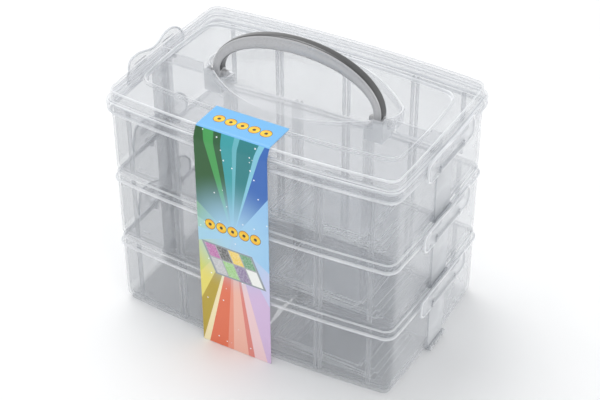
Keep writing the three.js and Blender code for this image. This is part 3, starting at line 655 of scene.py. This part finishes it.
# Handle ---------------------------------------------------------------------------------------
# A silver-grey moulded bail, thick at the crest and slim at the legs, on two pins that turn in the
# lid's pockets. It leans back a little as it stands, and folds down into the recess.
HANDLE_HALF, HANDLE_THICK, HANDLE_DEPTH = 70.2, 7.6, 9.5
HANDLE_LEG, HANDLE_RISE, GRIP_RISE = 4.2, 43, 30.6
HANDLE_LEAN = radians(5)
PIN_RADIUS, PIN_REACH = 2.5, 4.1


def handle_arch():
    """The bail: a rounded rectangle carried between an outer and an inner curve, each a half ellipse
    on two short straight legs. A shallow groove runs along both broad faces."""
    turn = np.linspace(np.pi, 0, 65)
    leg = np.linspace(-0.6, 1, 6)[:-1] * HANDLE_LEG
    outer, inner = HANDLE_HALF + HANDLE_THICK / 2, HANDLE_HALF - HANDLE_THICK / 2
    side = np.concatenate([-np.ones(len(leg)), np.cos(turn), np.ones(len(leg))])
    rise = np.concatenate([0 * leg, np.sin(turn), 0 * leg])
    foot = np.concatenate([leg, np.full(len(turn), HANDLE_LEG), leg[::-1]])
    top = np.stack([outer * side, 0 * side, foot + HANDLE_RISE * rise], -1)
    low = np.stack([inner * side, 0 * side, foot + GRIP_RISE * rise], -1)
    phi = np.linspace(0, 2 * np.pi, 48, endpoint=False)
    across = np.sign(np.cos(phi)) * np.abs(np.cos(phi)) ** 0.45
    along = np.sign(np.sin(phi)) * np.abs(np.sin(phi)) ** 0.45
    groove = 1 - 0.10 * np.exp(-((along - 0.38) / 0.14) ** 2) * (np.abs(across) > 0.8)
    middle, half = (top + low) / 2, (top - low) / 2
    depth = np.array([0, HANDLE_DEPTH / 2, 0])
    rings = middle[:, None] + half[:, None] * along[None, :, None] + (across * groove)[None, :, None] * depth
    points, faces, _ = closed_tube(rings[:, ::-1])
    face_along = ((along + np.roll(along, -1)) / 2)[::-1]
    # The top and the underside of the bail get the near-black material: a painted dark reflection on top and
    # painted shade underneath.
    dark = np.tile(np.roll(np.abs(face_along) > 0.86, -1), len(rings) - 1)
    return points, faces, np.concatenate([dark, np.zeros(2 * len(phi))]).astype(int)


def lean_back(parts):
    """Turns parts made upright about the pivot to the handle's lean, and lifts them to the pivot."""
    cos, sin = np.cos(HANDLE_LEAN), np.sin(HANDLE_LEAN)
    turn = np.array([[1, 0, 0], [0, cos, sin], [0, -sin, cos]])
    return [(points @ turn.T + [0, 0, PIVOT_Z], faces, finish) for points, faces, finish in parts]


def silver_plastic(name, dark, light, metallic):
    """Silver paint on moulded plastic: metallic flake, small scuffs that dull it, and fine grain."""
    silver = bpy.data.materials.new(name)
    silver.use_nodes = True
    nodes, links = silver.node_tree.nodes, silver.node_tree.links
    shader = nodes["Principled BSDF"]
    shader.inputs["Metallic"].default_value = metallic
    shader.inputs["Coat Weight"].default_value = 0.5
    place = nodes.new("ShaderNodeTexCoord")
    flake = nodes.new("ShaderNodeTexNoise")
    flake.inputs["Scale"].default_value = 1400
    scuff = nodes.new("ShaderNodeTexNoise")
    scuff.inputs["Scale"].default_value = 60
    scuff.inputs["Detail"].default_value = 6
    tone = nodes.new("ShaderNodeValToRGB")
    tone.color_ramp.elements[0].position, tone.color_ramp.elements[1].position = 0.3, 0.7
    tone.color_ramp.elements[0].color = (dark, dark, 1.02 * dark, 1)
    tone.color_ramp.elements[1].color = (light, light, 1.02 * light, 1)
    dull = nodes.new("ShaderNodeMapRange")
    dull.inputs["To Min"].default_value, dull.inputs["To Max"].default_value = 0.2, 0.42
    bump = nodes.new("ShaderNodeBump")
    bump.inputs["Strength"].default_value = 0.15
    bump.inputs["Distance"].default_value = 0.0002
    for noise in (flake, scuff):
        links.new(place.outputs["Object"], noise.inputs["Vector"])
    links.new(flake.outputs["Fac"], tone.inputs["Fac"])
    links.new(tone.outputs["Color"], shader.inputs["Base Color"])
    links.new(scuff.outputs["Fac"], dull.inputs["Value"])
    links.new(dull.outputs["Result"], shader.inputs["Roughness"])
    links.new(flake.outputs["Fac"], bump.inputs["Height"])
    links.new(bump.outputs["Normal"], shader.inputs["Normal"])
    return silver


handle_parts = [handle_arch()]
for side in (-1, 1):
    near, far = side * (HANDLE_HALF - HANDLE_THICK / 2), side * (HANDLE_HALF + HANDLE_THICK / 2)
    handle_parts.append(rod((near, 0, 0), (far, 0, 0), HANDLE_DEPTH / 2, 32))
    handle_parts.append(rod((near - side * PIN_REACH, 0, 0), (far + side * PIN_REACH, 0, 0), PIN_RADIUS, 24))
# The second silver is near black; it paints a dark reflection on the top of the bail and shade on its
# underside.
handle_silvers = [
    silver_plastic("silver_handle_faces", 0.46, 0.60, 0.3),
    silver_plastic("handle_rims_painted_dark_reflection_and_shade", 0.06, 0.10, 0.4),
]
handle = make_piece("silver_handle", lean_back(handle_parts), handle_silvers)
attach(handle, "handle")
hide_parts("carry_handle")

# Clips ----------------------------------------------------------------------------------------
# Six clear moulded clips. Each is a thin plate on a hinge barrel, with two lobes that lean out for
# the fingers, a bead round its edge, grip ridges, and two windows for the tray's hinge ears.
CLIP_HALF, CLIP_RISE, CLIP_WAIST, CLIP_DROP, CLIP_CORNER = 39, 20, 3.5, 2.2, 7
CLIP_BEND, CLIP_FLARE, CLIP_THICK = 13.6, 3, 1.4
CLIP_REACH, CORNER_IN, CORNER_OUT = 38.6, 23, 38.4
CLIP_BEAD = 0.95
CREST, SHOULDER, SHOULDER_POWER = 0.55, 0.62, 2.4    # shares of the clip's half length, and a power
EAR_NEAR, EAR_FAR, EAR_TOP, WINDOW_STEP = 17.7, 21.3, 4.4, 0.05
RIDGE_HEIGHTS, RIDGE_NEAR, RIDGE_FAR, RIDGE_RADIUS = (11.2, 13.0, 14.8), 12, 27, 0.45
BARREL, BARREL_HALF, HINGE_PIN, HINGE_PIN_HALF = 1.9, 17.7, 1.2, 19.7


def clip_top(y):
    """Height of the top edge above the hinge: a waist in the middle, two broad lobes made of half a
    cosine each, and a quarter of a superellipse down to the lower corners."""
    share = np.clip(np.abs(y) / CLIP_HALF, 0, 1)
    lobe = CLIP_RISE - CLIP_WAIST / 2 * (1 + np.cos(np.pi * np.minimum(share / CREST, 1)))
    shoulder = CLIP_CORNER - CLIP_DROP
    past = np.maximum(share - SHOULDER, 0) / (1 - SHOULDER)
    fall = np.sqrt(np.maximum(1 - past ** SHOULDER_POWER, 0))
    return shoulder + (lobe - shoulder) * fall


def clip_lean(z):
    """How far the plate leans out at a height: upright to the bend, then a straight slope."""
    return CLIP_FLARE * np.maximum(z - CLIP_BEND, 0) / (CLIP_RISE - CLIP_BEND)


def clip_parts(side):
    """One clip about its hinge, for one end: a flat section scaled to the plate's height at each
    step along Y, a bead along its edge, ridges, the barrel and the pin."""
    share = 0.5 - 0.5 * np.cos(np.linspace(0, np.pi, 9))
    window = np.array([EAR_NEAR - WINDOW_STEP, EAR_NEAR, EAR_FAR, EAR_FAR + WINDOW_STEP])
    steps = np.concatenate([np.linspace(-CLIP_REACH, CLIP_REACH, 151), window, -window])
    y = np.sort(steps)[:, None]
    corner = np.maximum(np.abs(y) - (CLIP_HALF - CLIP_CORNER), 0)
    low = -CLIP_DROP + CLIP_CORNER - np.sqrt(CLIP_CORNER ** 2 - corner ** 2)
    low = np.where((np.abs(y) >= EAR_NEAR) & (np.abs(y) <= EAR_FAR), EAR_TOP, low)
    z = low + (clip_top(y) - low) * share
    outer = np.stack([clip_lean(z) + CLIP_THICK / 2, y + 0 * z, z], -1)
    inner = np.stack([clip_lean(z) - CLIP_THICK / 2, y + 0 * z, z], -1)[:, ::-1]
    parts = [closed_tube(np.concatenate([outer, inner], 1), WALLS)]
    corner_steps = np.linspace(CORNER_IN, CORNER_OUT, 14)
    sweep = np.concatenate([-corner_steps, np.linspace(-CLIP_REACH, CLIP_REACH, 120), corner_steps[::-1]])
    round_in = np.maximum(np.abs(sweep) - (CLIP_HALF - CLIP_CORNER), 0)
    under = -CLIP_DROP + CLIP_CORNER - np.sqrt(CLIP_CORNER ** 2 - round_in ** 2)
    below = np.minimum(np.arange(len(sweep)), np.arange(len(sweep))[::-1]) < len(corner_steps)
    height = np.where(below, under, clip_top(sweep))
    turn = np.linspace(0, 2 * np.pi, 10, endpoint=False)
    path = np.stack([clip_lean(height), sweep, height], -1)
    along = np.gradient(path, axis=0)
    along /= np.linalg.norm(along, axis=1, keepdims=True)
    out = np.array([1.0, 0, 0])
    other = np.cross(along, out)
    other /= np.linalg.norm(other, axis=1, keepdims=True)
    circle = np.cos(turn)[None, :, None] * out + np.sin(turn)[None, :, None] * other[:, None]
    rings = path[:, None] + CLIP_BEAD * circle
    # The bead gets the edge material: a painted highlight along the clip's edge.
    parts.append(closed_tube(rings, EDGE_HIGHLIGHT))
    for lobe in (-1, 1):
        for z in RIDGE_HEIGHTS:
            x = float(clip_lean(np.array(z))) + CLIP_THICK / 2
            parts.append(rod((x, lobe * RIDGE_NEAR, z), (x, lobe * RIDGE_FAR, z), RIDGE_RADIUS, 8, RIBBED))
    parts.append(rod((0, -BARREL_HALF, 0), (0, BARREL_HALF, 0), BARREL, 20, RIBBED))
    parts.append(rod((0, -HINGE_PIN_HALF, 0), (0, HINGE_PIN_HALF, 0), HINGE_PIN, 14, RIBBED))
    if side > 0:
        return parts
    return [(points * [-1, 1, 1], [face[::-1] for face in faces], finish) for points, faces, finish in parts]


clip_plastics = [
    clear_plastic("clip_wall_plastic", (0.94, 0.943, 0.948), 0.16, 0.8, 0.62),
    clear_plastic("clip_edge_highlight_plastic", (0.93, 0.935, 0.94), 0.65, 0.8, 0.85),
    clear_plastic("clip_rib_plastic", (0.93, 0.935, 0.94), 0.35, 0.8, 0.75),
]
for level, name in enumerate(LEVELS):
    for end, side in (("right", 1), ("left", -1)):
        at = np.array([side * HINGE_X, 0, HINGE_Z + level * PITCH])
        moved = [(points + at, faces, finish) for points, faces, finish in clip_parts(side)]
        clip = make_piece(f"{name}_{end}_end_clip", moved, clip_plastics)
        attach(clip, f"{name}_clip_{end}")
        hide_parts(f"{name}_clip_{end}")

# Printed card ---------------------------------------------------------------------------------
# A strip of printed card: a flap on the lid's border, two soft folds and a long panel down the
# front. The print is a sunburst with sparks, a row of ring beads and a picture of a bead tray.
CARD_WIDTH, CARD_X, CARD_THICK = 62.5, -6.7, 0.6
CARD_FRONT, CARD_FOLD, CARD_LOW, CARD_SHOULDER, CARD_TOP, CARD_FLAP = -86.1, -82.3, 0.3, 195.4, 203.7, 28.2
BURST_UP = 113.0                                 # the burst's centre, up the card
GLOW_NEAR, GLOW_FAR = 6, 58                      # where its glow starts and ends, from that centre
INK_DEPTH = 1.18                                 # a power that deepens every ink of the burst
PICTURE_UP, PICTURE_SPLIT, PICTURE_HALF, PICTURE_HIGH, PICTURE_LEAN = 87.0, 88.0, 21, 13, 0.42
FLAP_START, BEAD_ROWS = 203.4, (119.0, 218.0)
BEAD_PITCH, BEAD_ROW_HALF, BEAD_OUTLINE = 10.0, 25, 4.7


def card_sheet():
    """The card as a closed thin slab: a softly folded path in Y and Z, carried across in X, with the
    width and the length along the path, in mm, as its own UV."""
    path = soften([(CARD_FRONT, CARD_LOW), (CARD_FRONT, CARD_SHOULDER), (CARD_FOLD, CARD_TOP),
                   (CARD_FOLD + CARD_FLAP, CARD_TOP)], 2.2, 6)
    steps = np.concatenate([[0], np.cumsum(np.linalg.norm(np.diff(path, axis=0), axis=1))])
    along = np.unique(np.concatenate([np.linspace(0, steps[-1], 117), steps]))
    y, z = np.interp(along, steps, path[:, 0]), np.interp(along, steps, path[:, 1])
    slope = np.stack([np.gradient(y, along), np.gradient(z, along)], -1)
    slope /= np.linalg.norm(slope, axis=1, keepdims=True)
    x = np.linspace(0, CARD_WIDTH, 9)
    bulge = 0.12 * np.sin(np.pi * x / CARD_WIDTH) * np.ones((len(along), 1))
    sheets = []
    for offset in (CARD_THICK / 2 + bulge, -CARD_THICK / 2 + 0 * bulge):
        sheets.append(np.stack([x + CARD_X - CARD_WIDTH / 2 + 0 * offset,
                                y[:, None] - slope[:, 1:] * offset, z[:, None] + slope[:, :1] * offset], -1))
    rows, columns = len(along), len(x)
    flat = np.arange(rows * columns).reshape(rows, columns)
    quads = np.stack([flat[:-1, :-1], flat[:-1, 1:], flat[1:, 1:], flat[1:, :-1]], -1).reshape(-1, 4)
    rim = np.concatenate([flat[0], flat[1:, -1], flat[-1, -2::-1], flat[-2:0:-1, 0]])
    after, back = np.roll(rim, -1), rows * columns
    edge = np.stack([rim, rim + back, after + back, after], -1)
    faces = quads.tolist() + (quads[:, ::-1] + back).tolist() + edge.tolist()
    mesh = bpy.data.meshes.new("card_print")
    mesh.from_pydata((np.vstack([sheet.reshape(-1, 3) for sheet in sheets]) * MM).tolist(), [], faces)
    across, up = np.meshgrid(x, along)
    place = np.tile(np.stack([across, up], -1).reshape(-1, 2), (2, 1))
    corner = np.empty(len(mesh.loops), dtype=np.int32)
    mesh.loops.foreach_get("vertex_index", corner)
    mesh.uv_layers.new(name="card_mm").data.foreach_set("uv", place[corner].ravel())
    mesh.shade_smooth()
    mesh.set_sharp_from_angle(angle=radians(40))
    sheet = bpy.data.objects.new("card_print", mesh)
    bpy.context.scene.collection.objects.link(sheet)
    return sheet


def card_paper():
    """Gloss-printed card. The colours come from the place on the card in mm: the angle about the
    burst's centre picks a ray, the distance from it gives the glow, and repeats give the beads."""
    paper = bpy.data.materials.new("printed_card_gloss")
    paper.use_nodes = True
    nodes, links = paper.node_tree.nodes, paper.node_tree.links
    shader = nodes["Principled BSDF"]

    def give(value, socket):
        """Sets a socket to a value, or joins another output to it."""
        if isinstance(value, (int, float, tuple)):
            socket.default_value = value
        else:
            links.new(value, socket)

    def maths(operation, *values):
        """One sum on numbers or outputs."""
        node = nodes.new("ShaderNodeMath")
        node.operation = operation
        for value, socket in zip(values, node.inputs):
            give(value, socket)
        return node.outputs["Value"]

    def blend(amount, below, above):
        """Mix of two colours by an amount from 0 to 1."""
        node = nodes.new("ShaderNodeMix")
        node.data_type = "RGBA"
        give(amount, node.inputs["Factor"])
        give(below, node.inputs["A"])
        give(above, node.inputs["B"])
        return node.outputs["Result"]

    def bands(place, stops):
        """Flat bands of colour, each from its own place between 0 and 1."""
        node = nodes.new("ShaderNodeValToRGB")
        ramp = node.color_ramp
        ramp.interpolation = "CONSTANT"
        for start, _ in stops[2:]:
            ramp.elements.new(start)
        for element, (start, colour) in zip(ramp.elements, stops):
            element.position, element.color = start, (*colour, 1)
        links.new(place, node.inputs["Fac"])
        return node.outputs["Color"]

    def within(value, middle, half):
        """1 where the value is less than half a width from the middle."""
        return maths("LESS_THAN", maths("ABSOLUTE", maths("SUBTRACT", value, float(middle))), float(half))

    where, split = nodes.new("ShaderNodeUVMap"), nodes.new("ShaderNodeSeparateXYZ")
    where.uv_map = "card_mm"
    links.new(where.outputs["UV"], split.inputs["Vector"])
    across, up = maths("SUBTRACT", split.outputs["X"], CARD_WIDTH / 2), split.outputs["Y"]

    # Sunburst: each ray's ink, from the angle in degrees at which the ray starts
    above = maths("SUBTRACT", up, BURST_UP)
    turn = maths("MULTIPLY_ADD", maths("ARCTAN2", above, across), 0.5 / np.pi, 0.5)
    inks = [
        (-180, (0.45, 0.72, 0.80)), (-158.4, (0.72, 0.72, 0.12)), (-126, (0.85, 0.76, 0.20)),
        (-114.8, (0.55, 0.42, 0.05)), (-106.2, (0.95, 0.85, 0.55)), (-104, (0.83, 0.23, 0.12)),
        (-95, (0.88, 0.38, 0.28)), (-91.5, (0.92, 0.55, 0.45)), (-85.7, (0.80, 0.30, 0.26)),
        (-82.4, (0.90, 0.68, 0.70)), (-76.7, (0.72, 0.56, 0.78)), (-61.2, (0.66, 0.66, 0.88)),
        (-36, (0.36, 0.62, 0.90)), (55.1, (0.05, 0.19, 0.55)), (72.3, (0.28, 0.64, 0.78)),
        (75.5, (0.02, 0.28, 0.30)), (84.4, (0.18, 0.55, 0.62)), (88.2, (0.05, 0.42, 0.45)),
        (95, (0.02, 0.15, 0.05)), (98.6, (0.08, 0.42, 0.12)), (105.3, (0.02, 0.14, 0.03)),
        (140.8, (0.22, 0.45, 0.06)), (162, (0.45, 0.68, 0.30))]
    rays = [((degrees + 180) / 360, tuple(part ** INK_DEPTH for part in ink)) for degrees, ink in inks]
    colour = bands(turn, rays)
    reach = maths("SQRT", maths("ADD", maths("MULTIPLY", across, across), maths("MULTIPLY", above, above)))
    glow = nodes.new("ShaderNodeMapRange")
    glow.interpolation_type = "SMOOTHSTEP"
    glow.inputs["From Min"].default_value, glow.inputs["From Max"].default_value = GLOW_NEAR, GLOW_FAR
    glow.inputs["To Min"].default_value, glow.inputs["To Max"].default_value = 0.95, 0
    links.new(reach, glow.inputs["Value"])
    colour = blend(glow.outputs["Result"], colour, (0.38, 0.66, 0.88, 1))

    # Sparks
    sparks = nodes.new("ShaderNodeTexVoronoi")
    sparks.inputs["Scale"].default_value = 0.13
    links.new(where.outputs["UV"], sparks.inputs["Vector"])
    colour = blend(maths("LESS_THAN", sparks.outputs["Distance"], 0.085), colour, (0.93, 0.96, 1, 1))

    # Picture of a bead tray, drawn as a leaning box with two rows of four cells
    lean = maths("MULTIPLY_ADD", maths("SUBTRACT", up, PICTURE_UP), PICTURE_LEAN, across)
    column = maths("MULTIPLY_ADD", lean, 0.5 / PICTURE_HALF, 0.5)
    upper = bands(column, [(0, (0.48, 0.08, 0.36)), (0.25, (0.02, 0.02, 0.02)), (0.5, (0.90, 0.62, 0.03)),
                           (0.75, (0.05, 0.30, 0.10))])
    lower = bands(column, [(0, (0.50, 0.50, 0.52)), (0.25, (0.28, 0.60, 0.16)), (0.5, (0.20, 0.13, 0.30)),
                           (0.75, (0.88, 0.90, 0.86))])
    cells = blend(maths("GREATER_THAN", up, PICTURE_SPLIT), lower, upper)
    beads = nodes.new("ShaderNodeTexVoronoi")
    beads.inputs["Scale"].default_value = 0.8
    links.new(where.outputs["UV"], beads.inputs["Vector"])
    cells = blend(maths("MULTIPLY", beads.outputs["Distance"], 0.35), cells, (1, 1, 1, 1))
    edge = maths("ABSOLUTE", maths("SUBTRACT", maths("FRACT", maths("MULTIPLY", column, 4.0)), 0.5))
    wall = maths("MAXIMUM", maths("GREATER_THAN", edge, 0.45), within(up, PICTURE_SPLIT, 0.5))
    cells = blend(wall, cells, (0.42, 0.44, 0.46, 1))
    inside = maths("MULTIPLY", within(lean, 0, PICTURE_HALF), within(up, PICTURE_UP, PICTURE_HIGH))
    frame_wide, frame_high = within(lean, 0, PICTURE_HALF + 1.6), within(up, PICTURE_UP, PICTURE_HIGH + 1.4)
    frame_mask = maths("MULTIPLY", frame_wide, frame_high)
    picture = blend(inside, (0.30, 0.34, 0.38, 1), cells)
    colour = blend(frame_mask, colour, picture)

    # Blue flap, and a row of ring beads on it and on the panel
    flap = maths("GREATER_THAN", up, FLAP_START)
    colour = blend(flap, colour, (0.16, 0.47, 0.83, 1))
    from_panel, from_flap = (maths("ABSOLUTE", maths("SUBTRACT", up, row)) for row in BEAD_ROWS)
    row_distance = maths("MINIMUM", from_panel, from_flap)
    shifted = maths("ADD", across, BEAD_PITCH / 2)
    repeat = maths("SUBTRACT", maths("FLOORED_MODULO", shifted, BEAD_PITCH), BEAD_PITCH / 2)
    row_square = maths("MULTIPLY", row_distance, row_distance)
    ring = maths("SQRT", maths("ADD", maths("MULTIPLY", repeat, repeat), row_square))
    in_row = within(across, 0, BEAD_ROW_HALF)
    bead_outline = maths("MULTIPLY", in_row, maths("LESS_THAN", ring, BEAD_OUTLINE))
    colour = blend(bead_outline, colour, (0.05, 0.03, 0.01, 1))
    bead_tone = blend(maths("MULTIPLY", row_distance, 0.2), (0.98, 0.68, 0.03, 1), (0.93, 0.36, 0.01, 1))
    bead_body = maths("MULTIPLY", in_row, within(ring, 2.85, 1.45))
    colour = blend(bead_body, colour, bead_tone)

    # Paper fibre, and a gloss that wears a little
    fibre = nodes.new("ShaderNodeTexNoise")
    fibre.inputs["Scale"].default_value, fibre.inputs["Detail"].default_value = 2.5, 5
    links.new(where.outputs["UV"], fibre.inputs["Vector"])
    tint = nodes.new("ShaderNodeMapRange")
    tint.inputs["To Min"].default_value, tint.inputs["To Max"].default_value = 0, 0.03
    links.new(fibre.outputs["Fac"], tint.inputs["Value"])
    colour = blend(tint.outputs["Result"], colour, (0.75, 0.78, 0.80, 1))
    gloss = nodes.new("ShaderNodeMapRange")
    gloss.inputs["To Min"].default_value, gloss.inputs["To Max"].default_value = 0.3, 0.5
    links.new(fibre.outputs["Fac"], gloss.inputs["Value"])
    bump = nodes.new("ShaderNodeBump")
    bump.inputs["Strength"].default_value, bump.inputs["Distance"].default_value = 0.12, 0.0001
    links.new(fibre.outputs["Fac"], bump.inputs["Height"])
    links.new(bump.outputs["Normal"], shader.inputs["Normal"])
    links.new(gloss.outputs["Result"], shader.inputs["Roughness"])
    links.new(colour, shader.inputs["Base Color"])
    return paper


card = card_sheet()
card.data.materials.append(card_paper())
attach(card, "lid")
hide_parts("printed_card")
